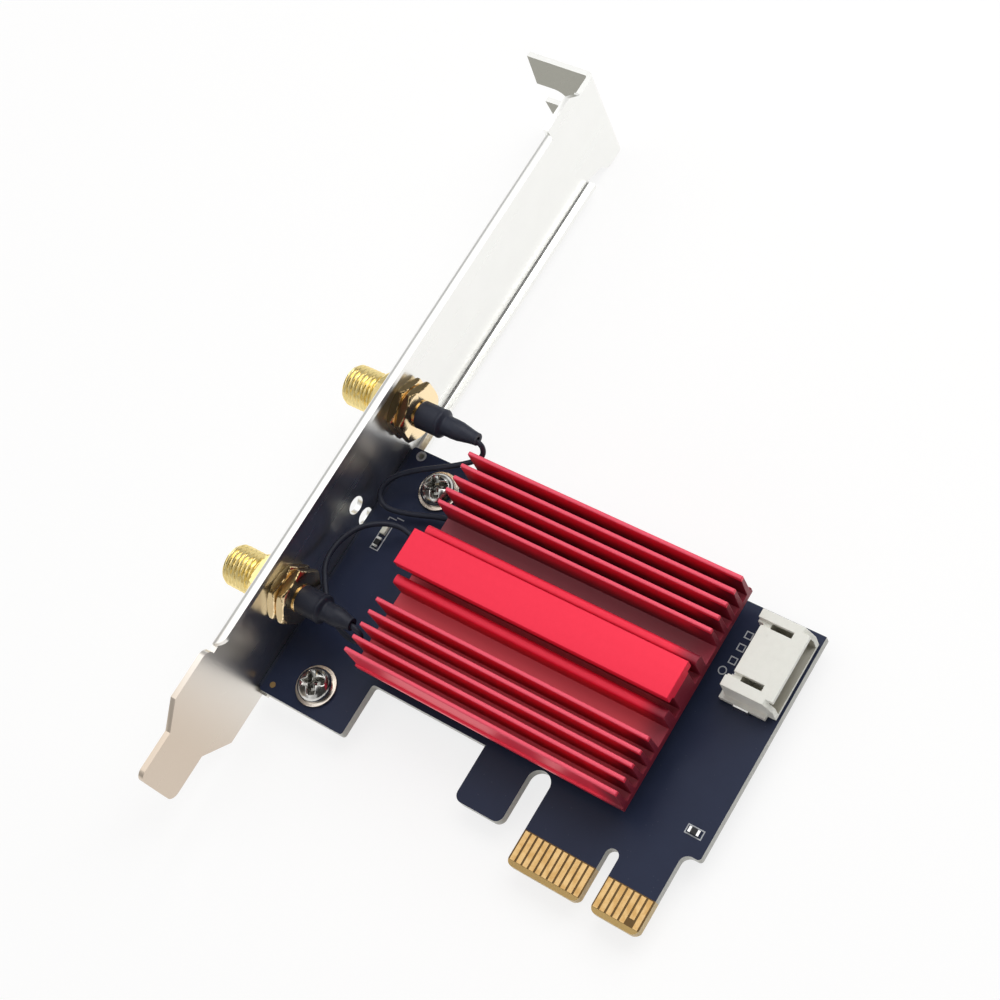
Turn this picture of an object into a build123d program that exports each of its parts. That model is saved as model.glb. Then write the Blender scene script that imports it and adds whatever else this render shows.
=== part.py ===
from build123d import *
import os
from math import cos, pi, tan

os.makedirs("parts", exist_ok=True)

# Sizes are in millimetres.
# The origin is on the component face, in the middle of the key notch, where the slot's floor would be.
# X runs from the bracket to the far end, Y from the slot to the top, Z out of the component face.

# Circuit board
board_thick = 1.6
board_left = -57.8
board_right = 10.5
board_top = 46.6
board_low = 12.9
tab_right = -42.6
tab_low = 4.65
hook_left = -23.2
hook_right = -15.6
hook_low = 4.6
hook_corner_r = 1.2
tongue_left = -12.1
tongue_right = 8.1
tongue_low = 0.65
tongue_corner_r = 1.0
slot_top = 13.6
key_width = 1.9
key_top = 9.1
shoulder_r = 1.3
board_corner_r = 0.5
bevel_rise = 0.75
bevel_depth = 0.4

# Gold contacts on the card edge
contact_pitch = 1.0
contact_width = 0.7
contact_skin = 0.06
contact_low = tongue_low + bevel_rise
contact_high = 5.6
contact_first = -11.5
contacts_before_key = 11
contact_after_key = 1.5
contacts_after_key = 7
contact_short_cut = 1.0
contact_short_index = 16

# Bracket, one folded sheet
sheet = 0.86
fold_r = 0.35
bracket_inner = -58.15
bracket_near = 16.0
flange_near = 15.5
flange_reach = 1.15
flange_low = 5.3
tab_underside = 105.4
flange_high = tab_underside - 12.0
bracket_far = -2.46
bracket_tip = -14.9
tongue_far = 2.3
tongue_near = 12.5
taper_low = -7.6
taper_high = -3.6
tongue_tip_r = 1.5
low_corner_r = 1.5
low_corner_high = 4.4
step_high = tab_underside - 3.4
step_low = step_high - 2.1
step_near = 14.0
flare_start = tab_underside - 8.4
flare_far = -4.4
flare_neck = (tab_underside - 5.0, -2.4)
flare_low = tab_underside - 3.5
flare_r = 1.5
flange_corner_r = 1.9
flange_top_r = 0.8
tab_outer = -70.5
tab_outer_near = -69.9
tab_outer_far = -69.3
tab_slot_far = 2.6
tab_slot_width = 4.42
tab_slot_end = -65.0
light_hole_r = 1.45
light_hole_y = 33.8
light_hole_z = (4.2, 0.35)
ear_reach = 12.2
ear_end = bracket_inner + ear_reach
ear_half = 4.2
ear_corner_r = 1.5

# Screws that hold the board to the bracket's ears
ear_screws = ((ear_end - 3.95, 8.85), (ear_end - 4.15, 41.9))
screw_r = 1.5
screw_hole_r = 1.65
screw_tip = -3.0
washer_r = 3.1
washer_thick = 0.5
head_r = 2.75
head_high = 1.9
head_round = 0.8
recess_r = 1.75
recess_width = 0.95
recess_deep = 1.1

# Antenna ports
port_y = (49.2, 17.7)
port_z = 7.7
port_thread_r = 3.175
port_neck_r = 2.9
port_hole_r = 3.25
port_tip = -67.5
port_hex_flats = 8.0
port_hex_turn = (57, 26)
port_hex_thick = 3.0
port_groove = (1.35, 1.6)
port_groove_r = 3.6
port_bore_r = 2.3
port_bore_deep = 4.2
port_recess = 1.9
port_contact_r = 0.64
port_contact_tip = 0.6
nut_flats = 8.0
nut_thick = 2.2
lock_r = 4.4
lock_thick = 0.6
stub_r = 1.85
stub_long = 0.25
ferrule_r = 1.55
ferrule_long = 3.4
boot_r = 2.1
boot_shoulder = 7.0
boot_neck = 7.9
boot_neck_r = 1.5
boot_taper = 9.7
boot_end = (13.1, 12.0)
boot_end_r = 0.95

# Leads
lead_r = 0.405
lead_start = -49.6
lead_gap = 0.02
lead_arc_share = 0.45
upper_route = (
    (lead_start, port_y[0], port_z),
    (-44.1, port_y[0], port_z),
    (-43.6, 48.2, 5.6),
    (-45.3, 46.9, 4.7),
    (-48.6, 44.6, 4.6),
    (-53.3, 42.3, 3.9),
    (-56.4, 39.9, 3.3),
    (-57.1, 37.2, 2.7),
    (-55.2, 35.7, 1.9),
    (-51.2, 36.8, 1.4),
    (-47.0, 38.2, 1.6),
    (-43.6, 38.5, 2.7),
    (-40.0, 37.7, 3.0),
)
lower_route = (
    (lead_start, port_y[1], port_z),
    (-44.7, port_y[1], port_z),
    (-45.0, 16.4, 4.9),
    (-48.0, 16.3, 3.9),
    (-51.9, 18.0, 4.7),
    (-54.35, 20.95, 5.35),
    (-56.7, 24.2, 5.6),
    (-56.8, 28.2, 5.1),
    (-55.4, 32.0, 4.0),
    (-51.4, 34.6, 2.4),
    (-47.0, 33.2, 1.7),
    (-44.7, 29.4, 2.3),
    (-42.7, 25.6, 3.0),
    (-39.75, 23.25, 3.0),
)

# Heatsink extrusion
sink_left = -43.75
sink_right = 0.05
sink_mid = 30.08
sink_half = 16.8
sink_base_low = 4.15
sink_floor = 5.35
fin_top = 10.35
fin_count = 5
fin_last = sink_half - 0.75
fin_pitch = 2.0
fin_root_half = 0.42
fin_tip_half = 0.3
rib_inner = 3.3
rib_outer = 4.8
rib_top = 9.0
rib_round = 0.45
plate_half = 2.78
plate_top = 11.75
plate_low = 10.1
web_half = 1.9

# Radio module and its socket
module_low = 1.5
module_thick = 0.8
module_left = -40.2
module_right = -10.2
module_half = 11.0
module_notch_r = 1.75
module_notch_y = 30.08
shield_left = -36.6
shield_right = -14.6
shield_half = 9.6
shield_top = 3.65
shield_wall = 0.2
jack_y = (37.6, 22.6)
jack_x = -38.9
jack_r = 0.75
jack_high = 0.45
plug_r = 1.05
plug_high = 1.25
plug_wall = 0.25
socket_left = -13.6
socket_right = -5.2
socket_half = 11.0
socket_top = 3.3
socket_gap = 0.05
socket_pitch = 0.5
socket_tails = 34
socket_tail_width = 0.22
socket_tail_thick = 0.15
socket_tail_long = 1.3
nut_post_r = 2.2
nut_post_hole_r = 1.0
module_screw_head_r = 1.9
module_screw_head_high = 0.8

# Board header
header_y = (33.5, 45.2)
header_back = 3.5
header_arm_back = 2.7
header_foot_back = 2.1
header_foot_wide = 0.7
header_top_front = 10.1
header_side_top = 9.0
header_front = 10.2
header_top = 5.0
header_side_low = 3.0
header_lift = 0.25
header_wall = 0.8
header_floor = 1.0
header_ceiling = 4.25
header_back_wall = 1.2
header_foot_high = 1.2
header_slot_y = (35.5, 43.45)
header_slot_width = 0.85
header_slot_end = 8.0
pin_pitch = 2.0
pin_count = 4
pin_half = 0.25
pin_z = 2.6
pin_front = 9.4
pin_foot_back = 1.9
pin_foot_thick = 0.25
latch_long = 2.2
latch_thick = 0.25

# Small parts on the board
chips = ((8.0, 15.9, 0.0), (-54.25, 31.2, 90.0))
chip_long = 1.6
chip_wide = 0.8
chip_high = 0.45
chip_cap = 0.35
light_chips = ((-54.25, 33.4, 90.0),)
light_long = 1.6
light_wide = 0.8
light_high = 0.6
via_x = -55.9
via_y = 45.65
via_hole_r = 0.45


def rect(x0, x1, y0, y1):
    return Pos((x0 + x1) / 2, (y0 + y1) / 2) * Rectangle(x1 - x0, y1 - y0)


def block(x0, x1, y0, y1, z0, z1):
    return Pos((x0 + x1) / 2, (y0 + y1) / 2, (z0 + z1) / 2) * Box(x1 - x0, y1 - y0, z1 - z0)


def rod_z(x, y, z0, z1, r):
    return Pos(x, y, (z0 + z1) / 2) * Cylinder(r, z1 - z0)


def rod_x(x0, x1, y, z, r):
    return Pos((x0 + x1) / 2, y, z) * Rot(0, 90, 0) * Cylinder(r, x1 - x0)


def hex_x(x0, x1, y, z, flats, angle):
    nut = extrude(RegularPolygon(flats / 2 / cos(pi / 6), 6), x1 - x0)
    return Pos(x0, y, z) * Rot(angle, 0, 0) * Rot(0, 90, 0) * nut


def turn_x(points, x, y, z):
    """Turns a profile of (distance along X, radius) points about a line through y and z."""
    face = make_face(Polyline(*[(a, r) for a, r in points], close=True))
    return Pos(x, y, z) * revolve(face, Axis.X)


def at(shape, x, y):
    return shape.vertices().sort_by_distance((x, y, 0))[0]


def save(node, *shapes):
    solid = shapes[0] if len(shapes) == 1 else Compound(children=list(shapes))
    export_step(solid, f"parts/{node}.step")


def circuit_board():
    shape = rect(board_left, board_right, board_low, board_top)
    shape += rect(board_left, tab_right, tab_low, board_low)
    shape += rect(hook_left, hook_right, hook_low, board_low)
    shape += rect(tongue_left, tongue_right, tongue_low, board_low)
    gap_r = (tongue_left - hook_right) / 2
    gap_mid = (tongue_left + hook_right) / 2
    shape += rect(hook_right, tongue_left, slot_top - gap_r, board_low)
    shape -= Pos(gap_mid, slot_top - gap_r) * Circle(gap_r)
    shape -= rect(-key_width / 2, key_width / 2, tongue_low, key_top - key_width / 2)
    shape -= Pos(0, key_top - key_width / 2) * Circle(key_width / 2)
    shape = fillet([at(shape, hook_left, hook_low), at(shape, hook_right, hook_low)], hook_corner_r)
    shape = fillet(at(shape, tongue_right, board_low), shoulder_r)
    ends = (tongue_left, -key_width / 2, key_width / 2, tongue_right)
    shape = fillet([at(shape, x, tongue_low) for x in ends], tongue_corner_r)
    outer = ((board_left, board_top), (board_right, board_low))
    tab = ((board_left, tab_low), (tab_right, tab_low), (tab_right, board_low))
    shape = fillet([at(shape, *corner) for corner in outer + tab], board_corner_r)
    board = extrude(shape, -board_thick)
    for face, inward in ((0, -1), (-board_thick, 1)):
        edge = ((0, face), (bevel_rise, face), (0, face + inward * bevel_depth))
        wedge = make_face(Plane.YZ * Polyline(*edge, close=True))
        board -= Pos(tongue_left, tongue_low, 0) * extrude(wedge, tongue_right - tongue_left)
    for x, y in ear_screws:
        board -= rod_z(x, y, -board_thick, 0, screw_hole_r)
    board -= rod_z(via_x, via_y, -board_thick, 0, via_hole_r)
    return board


def edge_contacts(side):
    starts = [contact_first + i * contact_pitch for i in range(contacts_before_key)]
    starts += [contact_after_key + i * contact_pitch for i in range(contacts_after_key)]
    low_z, high_z = (0, contact_skin) if side > 0 else (-board_thick - contact_skin, -board_thick)
    pads = []
    for i, x in enumerate(starts):
        cut = contact_short_cut if i == contact_short_index else 0
        half = contact_width / 2
        pads.append(block(x - half, x + half, contact_low + cut, contact_high, low_z, high_z))
    return pads


def fold(side, reach):
    """Cross-section of one folded edge, from the plate round the bend to its free end."""
    face = flange_near if side > 0 else bracket_far
    mid_x = bracket_inner + fold_r
    mid_z = face - side * (sheet + fold_r)
    outer_r = fold_r + sheet
    half = cos(pi / 4)
    end = bracket_inner + reach
    inner_mid = (mid_x - fold_r * half, mid_z + side * fold_r * half)
    outer_mid = (mid_x - outer_r * half, mid_z + side * outer_r * half)
    line = ThreePointArc((mid_x - outer_r, mid_z), outer_mid, (mid_x, face))
    line += Polyline((mid_x, face), (end, face), (end, face - side * sheet), (mid_x, face - side * sheet))
    line += ThreePointArc((mid_x, face - side * sheet), inner_mid, (bracket_inner, mid_z))
    line += Line((bracket_inner, mid_z), (mid_x - outer_r, mid_z))
    return make_face(line)


def folded_edge(side, y0, y1, reach):
    plane = Plane(origin=(0, y0, 0), x_dir=(1, 0, 0), z_dir=(0, -1, 0))
    return extrude(plane * fold(side, reach), -(y1 - y0))


def bracket_plate():
    near_bend = flange_near - sheet - fold_r
    far_bend = bracket_far + sheet + fold_r
    top = tab_underside - fold_r
    body = rect(taper_high, top, far_bend, near_bend)
    body += rect(taper_high, low_corner_high, bracket_far, bracket_near)
    body += make_face(Polyline(
        (flange_high + fold_r, near_bend), (flange_high + fold_r, bracket_near), (step_low, bracket_near),
        (step_high, step_near), (step_high, near_bend - fold_r), close=True))
    body -= rect(step_high, top, step_near, bracket_near)
    flare = make_face(Polyline(
        (flare_start, far_bend), flare_neck, (flare_low, flare_far), (top, flare_far), (top, far_bend),
        close=True))
    body += fillet(at(flare, flare_low, flare_far), flare_r)
    body += make_face(Polyline(
        (taper_high, bracket_far), (taper_low, tongue_far), (bracket_tip, tongue_far),
        (bracket_tip, tongue_near), (taper_low, tongue_near), (taper_high, bracket_near), close=True))
    tips = [at(body, bracket_tip, tongue_far), at(body, bracket_tip, tongue_near)]
    body = fillet(tips, tongue_tip_r)
    body = fillet(at(body, low_corner_high, bracket_near), low_corner_r)
    for z in light_hole_z:
        body -= Pos(light_hole_y, z) * Circle(light_hole_r)
    for y in port_y:
        body -= Pos(y, port_z) * Circle(port_hole_r)
    return Pos(bracket_inner - sheet, 0, 0) * extrude(Plane.YZ * body, sheet)


def bracket_tab():
    mid_x = bracket_inner - sheet - fold_r
    mid_y = tab_underside - fold_r
    outer_r = fold_r + sheet
    half = cos(pi / 4)
    top = tab_underside + sheet
    inner_mid = (mid_x + fold_r * half, mid_y + fold_r * half)
    outer_mid = (mid_x + outer_r * half, mid_y + outer_r * half)
    line = ThreePointArc((mid_x + outer_r, mid_y), outer_mid, (mid_x, top))
    line += Polyline((mid_x, top), (tab_outer, top), (tab_outer, tab_underside), (mid_x, tab_underside))
    line += ThreePointArc((mid_x, tab_underside), inner_mid, (mid_x + fold_r, mid_y))
    line += Line((mid_x + fold_r, mid_y), (mid_x + outer_r, mid_y))
    tab = Pos(0, 0, flare_far) * extrude(make_face(line), step_near - flare_far)
    slot_r = tab_slot_width / 2
    slot_mid = tab_slot_far + slot_r
    mouth = block(tab_outer, tab_slot_end - slot_r, tab_underside, top,
                  tab_slot_far, tab_slot_far + tab_slot_width)
    end = Rot(90, 0, 0) * Cylinder(slot_r, sheet)
    tab -= mouth + Pos(tab_slot_end - slot_r, (tab_underside + top) / 2, slot_mid) * end
    for x, z in ((tab_outer_near, step_near), (tab_outer_far, flare_far)):
        slant = make_face(Polyline((tab_outer, z), (x, z), (tab_outer, slot_mid), close=True))
        plane = Plane(origin=(0, top, 0), x_dir=(1, 0, 0), z_dir=(0, -1, 0))
        tab -= extrude(plane * slant, sheet)
    return tab


def bracket_ear(x, y):
    ear = folded_edge(-1, y - ear_half, y + ear_half, ear_reach)
    free = ear.edges().filter_by(Axis.Z).sort_by(Axis.X)[-2:]
    ear = fillet(free, ear_corner_r)
    return ear - rod_z(x, y, bracket_far, bracket_far + sheet, screw_r)


def bracket():
    sheet_body = bracket_plate() + bracket_tab()
    near_edge = folded_edge(1, flange_low, flange_high, flange_reach)
    end = bracket_inner + flange_reach
    blank = rect(bracket_inner - sheet, end, flange_low, flange_high)
    blank = fillet(at(blank, end, flange_low), flange_corner_r)
    blank = fillet(at(blank, end, flange_high), flange_top_r)
    sheet_body += near_edge & extrude(blank, flange_near)
    sheet_body += folded_edge(-1, low_corner_high, flare_start, flange_reach)
    for x, y in ear_screws:
        sheet_body += bracket_ear(x, y)
    return sheet_body


def ear_screw(x, y):
    head_low = washer_thick
    head = rod_z(x, y, head_low, head_low + head_high, head_r)
    head = fillet(head.edges().filter_by(GeomType.CIRCLE).sort_by(Axis.Z)[-1], head_round)
    for angle in (30, 120):
        top = head_low + head_high
        bar = block(-recess_r, recess_r, -recess_width / 2, recess_width / 2, top - recess_deep, top)
        head -= Pos(x, y, 0) * Rot(0, 0, angle) * bar
    return head + rod_z(x, y, screw_tip, head_low, screw_r)


def ear_washer(x, y):
    return rod_z(x, y, 0, washer_thick, washer_r) - rod_z(x, y, 0, washer_thick, screw_hole_r)


def port_body(y, angle):
    front = bracket_inner + port_hex_thick
    nut_face = bracket_inner - sheet - lock_thick - nut_thick
    body = rod_x(port_tip, nut_face, y, port_z, port_thread_r)
    body += rod_x(nut_face, bracket_inner, y, port_z, port_neck_r)
    corner = port_hex_flats / 2 / cos(pi / 6)
    slope = (corner - port_hex_flats / 2) * tan(pi / 6)
    round_off = turn_x(
        ((0, 0), (0, corner), (port_hex_thick - slope, corner), (port_hex_thick, port_hex_flats / 2),
         (port_hex_thick, 0)), bracket_inner, y, port_z)
    body += hex_x(bracket_inner, front, y, port_z, port_hex_flats, angle) & round_off
    sides = [bracket_inner + offset for offset in port_groove]
    body -= rod_x(*sides, y, port_z, corner) - rod_x(*sides, y, port_z, port_groove_r)
    body += rod_x(front, front + stub_long, y, port_z, stub_r)
    return body - rod_x(port_tip, port_tip + port_bore_deep, y, port_z, port_bore_r)


def port_insulator(y):
    start = port_tip + port_recess
    end = port_tip + port_bore_deep
    return rod_x(start, end, y, port_z, port_bore_r) - rod_x(start, end, y, port_z, port_contact_r)


def port_contact(y):
    return rod_x(port_tip + port_contact_tip, port_tip + port_bore_deep, y, port_z, port_contact_r)


def port_lock(y):
    face = bracket_inner - sheet
    ring = rod_x(face - lock_thick, face, y, port_z, lock_r)
    return ring - rod_x(face - lock_thick, face, y, port_z, port_hole_r)


def port_nut(y, angle):
    face = bracket_inner - sheet - lock_thick
    nut = hex_x(face - nut_thick, face, y, port_z, nut_flats, angle)
    return nut - rod_x(face - nut_thick, face, y, port_z, port_neck_r)


def ferrule(y):
    start = bracket_inner + port_hex_thick + stub_long
    tube = rod_x(start, start + ferrule_long, y, port_z, ferrule_r)
    return tube - rod_x(start, start + ferrule_long, y, port_z, lead_r + lead_gap)


def boot(y, end):
    bore = lead_r + lead_gap
    start = port_hex_thick + stub_long
    step = start + ferrule_long
    profile = (
        (start, ferrule_r), (start, boot_r), (boot_shoulder, boot_r), (boot_neck, boot_neck_r),
        (boot_taper, boot_neck_r), (end, boot_end_r), (end, bore), (step, bore), (step, ferrule_r))
    return turn_x(profile, bracket_inner, y, port_z)


def lead(route):
    """A round tube along straight runs joined by the largest arcs that fit."""
    radii = []
    for before, corner, after in zip(route, route[1:], route[2:]):
        a = Vector(*corner) - Vector(*before)
        b = Vector(*after) - Vector(*corner)
        half_turn = a.get_angle(b) * pi / 360
        radii.append(lead_arc_share * min(a.length, b.length) / tan(half_turn))
    points = [Vector(*p) for p in route]
    edges = []
    last = points[0]
    for i, r in enumerate(radii, start=1):
        a = (points[i] - points[i - 1]).normalized()
        b = (points[i + 1] - points[i]).normalized()
        half_turn = a.get_angle(b) * pi / 360
        cut = r * tan(half_turn)
        start = points[i] - a * cut
        end = points[i] + b * cut
        edges.append(Line(last, start))
        edges.append(TangentArc(start, end, tangent=a))
        last = end
    edges.append(Line(last, points[-1]))
    path = Wire([e.edge() for e in edges])
    tube = sweep(Plane(origin=points[0], z_dir=points[1] - points[0]) * Circle(lead_r), path)
    print("lead length", round(path.length, 2), "tightest bend", round(min(radii), 2))
    return tube


def coax_plug(x, y):
    low = module_low + module_thick
    cap = rod_z(x, y, low, low + plug_high, plug_r)
    cap -= rod_z(x, y, low, low + plug_high - plug_wall, jack_r)
    return cap


def fin(offset):
    lean = fin_root_half - fin_tip_half
    root = ((offset - fin_root_half, sink_floor), (offset - fin_root_half + lean, fin_top),
            (offset + fin_root_half - lean, fin_top), (offset + fin_root_half, sink_floor))
    return make_face(Polyline(*root, close=True))


def heatsink_profile():
    shape = rect(-sink_half, sink_half, sink_base_low, sink_floor)
    shape += rect(-web_half, web_half, sink_floor, plate_low)
    shape += rect(-plate_half, plate_half, plate_low, plate_top)
    for side in (-1, 1):
        for i in range(fin_count):
            shape += fin(side * (fin_last - i * fin_pitch))
        inner, outer = sorted((side * rib_inner, side * rib_outer))
        rib = rect(inner, outer, sink_floor, rib_top)
        rib = fillet([at(rib, inner, rib_top), at(rib, outer, rib_top)], rib_round)
        shape += rib
    return shape


def heatsink():
    body = extrude(Plane.YZ * heatsink_profile(), sink_right - sink_left)
    return Pos(sink_left, sink_mid, 0) * body


def module_board():
    shape = rect(module_left, module_right, module_notch_y - module_half, module_notch_y + module_half)
    shape -= Pos(module_left, module_notch_y) * Circle(module_notch_r)
    return Pos(0, 0, module_low) * extrude(shape, module_thick)


def module_shield():
    low = module_low + module_thick
    y0 = module_notch_y - shield_half
    y1 = module_notch_y + shield_half
    can = block(shield_left, shield_right, y0, y1, low, shield_top)
    return can - block(shield_left + shield_wall, shield_right - shield_wall, y0 + shield_wall,
                       y1 - shield_wall, low, shield_top - shield_wall)


def thermal_pad():
    y0 = module_notch_y - shield_half
    y1 = module_notch_y + shield_half
    return block(shield_left, shield_right, y0, y1, shield_top, sink_base_low)


def module_jack(y):
    low = module_low + module_thick
    return rod_z(jack_x, y, low, low + jack_high, jack_r - lead_gap)


def socket_housing():
    y0 = module_notch_y - socket_half
    y1 = module_notch_y + socket_half
    body = block(socket_left, socket_right, y0, y1, 0, socket_top)
    low = module_low - socket_gap
    high = module_low + module_thick + socket_gap
    body -= block(socket_left, module_right + socket_gap, y0, y1, low, high)
    reach = socket_left + (module_right - socket_left) / 2
    return body - block(socket_left, reach, y0, y1, high, socket_top)


def module_post():
    post = rod_z(module_left, module_notch_y, 0, module_low, nut_post_r)
    return post - rod_z(module_left, module_notch_y, 0, module_low, nut_post_hole_r)


def module_screw():
    low = module_low + module_thick
    head = rod_z(module_left, module_notch_y, low, low + module_screw_head_high, module_screw_head_r)
    return head + rod_z(module_left, module_notch_y, 0, low, nut_post_hole_r)


def socket_tail(i):
    y = module_notch_y + (i - (socket_tails - 1) / 2) * socket_pitch
    half = socket_tail_width / 2
    return block(socket_right, socket_right + socket_tail_long, y - half, y + half, 0, socket_tail_thick)


def pin_y(i):
    return (header_y[0] + header_y[1]) / 2 + (i - (pin_count - 1) / 2) * pin_pitch


def header_housing():
    y0, y1 = header_y
    body = block(header_arm_back, header_front, y0, y1, header_lift, header_top)
    for edge, side in ((y0, -1), (y1, 1)):
        low, high = sorted((edge + header_wall * -side, edge + header_foot_wide * side))
        body += block(header_foot_back, header_side_top, low, high, header_lift, header_foot_high)
        wall = sorted((edge, edge - header_wall * side))
        slant = ((header_side_top, header_top), (header_front, header_side_low), (header_front, header_top))
        plane = Plane(origin=(0, wall[0], 0), x_dir=(1, 0, 0), z_dir=(0, -1, 0))
        body -= extrude(plane * make_face(Polyline(*slant, close=True)), -header_wall)
    inner0 = y0 + header_wall
    inner1 = y1 - header_wall
    body -= block(header_back + header_back_wall, header_front, inner0, inner1, header_floor, header_ceiling)
    body -= block(header_top_front, header_front, inner0, inner1, header_ceiling, header_top)
    body -= block(header_arm_back, header_back, header_slot_y[0], header_slot_y[1], header_lift, header_top)
    for i in range(pin_count):
        y = pin_y(i)
        body -= block(header_back, header_back + header_back_wall, y - pin_half, y + pin_half,
                      pin_z - pin_half, pin_z + pin_half)
    for y in header_slot_y:
        half = header_slot_width / 2
        body -= block(header_arm_back, header_slot_end, y - half, y + half, header_ceiling, header_top)
    return body


def header_pin(i):
    y = pin_y(i)
    low = y - pin_half
    high = y + pin_half
    blade = block(header_back - 2 * pin_half, pin_front, low, high, pin_z - pin_half, pin_z + pin_half)
    drop = block(header_back - 2 * pin_half, header_back, low, high, 0, pin_z)
    return blade + drop + block(pin_foot_back, header_back, low, high, 0, pin_foot_thick)


def header_tab(side):
    y = header_y[0] - header_foot_wide if side < 0 else header_y[1] + header_foot_wide
    y0, y1 = sorted((y, y + side * latch_thick))
    mid = (header_foot_back + header_side_top) / 2
    return block(mid - latch_long / 2, mid + latch_long / 2, y0, y1, 0, header_foot_high)


def chip(x, y, angle):
    half = chip_long / 2 - chip_cap
    body = block(-half, half, -chip_wide / 2, chip_wide / 2, 0, chip_high)
    return Pos(x, y, 0) * Rot(0, 0, angle) * body


def chip_caps(x, y, angle):
    caps = []
    for x0 in (-chip_long / 2, chip_long / 2 - chip_cap):
        cap = block(x0, x0 + chip_cap, -chip_wide / 2, chip_wide / 2, 0, chip_high)
        caps.append(Pos(x, y, 0) * Rot(0, 0, angle) * cap)
    return caps


def light_chip(x, y, angle):
    body = block(-light_long / 2, light_long / 2, -light_wide / 2, light_wide / 2, 0, light_high)
    return Pos(x, y, 0) * Rot(0, 0, angle) * body


save("circuit_board", circuit_board())
save("edge_contacts_front", *edge_contacts(1))
save("edge_contacts_back", *edge_contacts(-1))
save("bracket", bracket())
save("ear_screws", *[ear_screw(x, y) for x, y in ear_screws])
save("ear_washers", *[ear_washer(x, y) for x, y in ear_screws])
save("heatsink", heatsink())
ports = zip(("upper", "lower"), port_y, port_hex_turn, boot_end, (upper_route, lower_route), jack_y)
for name, y, angle, end, route, plug_y in ports:
    save(f"{name}_port_body", port_body(y, angle))
    save(f"{name}_port_insulator", port_insulator(y))
    save(f"{name}_port_contact", port_contact(y))
    save(f"{name}_port_lock_washer", port_lock(y))
    save(f"{name}_port_nut", port_nut(y, angle))
    save(f"{name}_ferrule", ferrule(y))
    save(f"{name}_boot", boot(y, end))
    save(f"{name}_lead", lead(route))
    save(f"{name}_plug", coax_plug(jack_x, plug_y))
save("module_board", module_board())
save("module_shield", module_shield())
save("module_jacks", *[module_jack(y) for y in jack_y])
save("module_post", module_post())
save("module_screw", module_screw())
save("thermal_pad", thermal_pad())
save("socket_housing", socket_housing())
save("socket_tails", *[socket_tail(i) for i in range(socket_tails)])
save("header_housing", header_housing())
save("header_pins", *[header_pin(i) for i in range(pin_count)])
save("header_tabs", *[header_tab(side) for side in (-1, 1)])
save("chip_bodies", *[chip(*place) for place in chips])
save("chip_ends", *[end for place in chips for end in chip_caps(*place)])
save("light_chip", *[light_chip(*place) for place in light_chips])
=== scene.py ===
import bmesh
import bpy
import numpy as np
from mathutils import Matrix, Vector


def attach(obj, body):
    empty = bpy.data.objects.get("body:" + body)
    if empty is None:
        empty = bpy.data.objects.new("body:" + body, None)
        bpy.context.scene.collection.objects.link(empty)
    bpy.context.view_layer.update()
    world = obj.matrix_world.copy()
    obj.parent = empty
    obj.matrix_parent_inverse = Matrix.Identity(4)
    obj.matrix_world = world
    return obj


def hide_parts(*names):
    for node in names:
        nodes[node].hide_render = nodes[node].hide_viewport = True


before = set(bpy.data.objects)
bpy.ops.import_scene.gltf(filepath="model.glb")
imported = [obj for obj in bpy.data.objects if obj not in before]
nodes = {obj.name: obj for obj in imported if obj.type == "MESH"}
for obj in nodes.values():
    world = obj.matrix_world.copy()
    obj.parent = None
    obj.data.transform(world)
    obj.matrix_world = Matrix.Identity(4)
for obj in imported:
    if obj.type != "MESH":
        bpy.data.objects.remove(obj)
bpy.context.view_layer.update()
scene = bpy.context.scene
scene.view_settings.view_transform = "Standard"
mm = 0.001

# camera, from the fitted view: it stands over the card's lower right and looks down at it
view = {
    "place": (82.073, -18.998, 233.799),
    "right": (0.80771, 0.51623, -0.28480),
    "up": (-0.37729, 0.82377, 0.42316),
    "lens": 68.7,
}
cameraData = bpy.data.cameras.new("camera")
cameraData.lens = view["lens"]
cameraData.sensor_width = 36
cameraData.clip_start = 0.01
camera = bpy.data.objects.new("camera", cameraData)
right, up = Vector(view["right"]).normalized(), Vector(view["up"]).normalized()
turn = Matrix((right, up, right.cross(up))).transposed().to_4x4()
camera.matrix_world = Matrix.Translation(Vector(view["place"]) * mm) @ turn
scene.collection.objects.link(camera)
scene.camera = camera
print("camera set")


# shader groups that several finishes share

def newGroup(name, inputs, outputs):
    group = bpy.data.node_groups.new(name, "ShaderNodeTree")
    for label, kind, value in inputs:
        socket = group.interface.new_socket(label, in_out="INPUT", socket_type=kind)
        if value is not None:
            socket.default_value = value
    for label, kind in outputs:
        group.interface.new_socket(label, in_out="OUTPUT", socket_type=kind)
    start = group.nodes.new("NodeGroupInput")
    end = group.nodes.new("NodeGroupOutput")
    return group, start, end


def mathNode(tree, kind, a, b=None, clamp=False):
    node = tree.nodes.new("ShaderNodeMath")
    node.operation = kind
    node.use_clamp = clamp
    for socket, value in zip(node.inputs, (a, b)):
        if value is None:
            continue
        if isinstance(value, (int, float)):
            socket.default_value = value
        else:
            tree.links.new(value, socket)
    return node.outputs[0]


def noiseNode(tree, vector, scale, detail=3.0, rough=0.55):
    node = tree.nodes.new("ShaderNodeTexNoise")
    tree.links.new(vector, node.inputs["Vector"])
    for label, value in (("Scale", scale), ("Detail", detail), ("Roughness", rough)):
        if isinstance(value, (int, float)):
            node.inputs[label].default_value = value
        else:
            tree.links.new(value, node.inputs[label])
    return node.outputs["Fac"]


def rampMask(tree, value, low, high):
    node = tree.nodes.new("ShaderNodeMapRange")
    node.interpolation_type = "SMOOTHSTEP"
    tree.links.new(value, node.inputs["Value"])
    for label, limit in (("From Min", low), ("From Max", high)):
        if isinstance(limit, (int, float)):
            node.inputs[label].default_value = limit
        else:
            tree.links.new(limit, node.inputs[label])
    return node.outputs["Result"]


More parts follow.
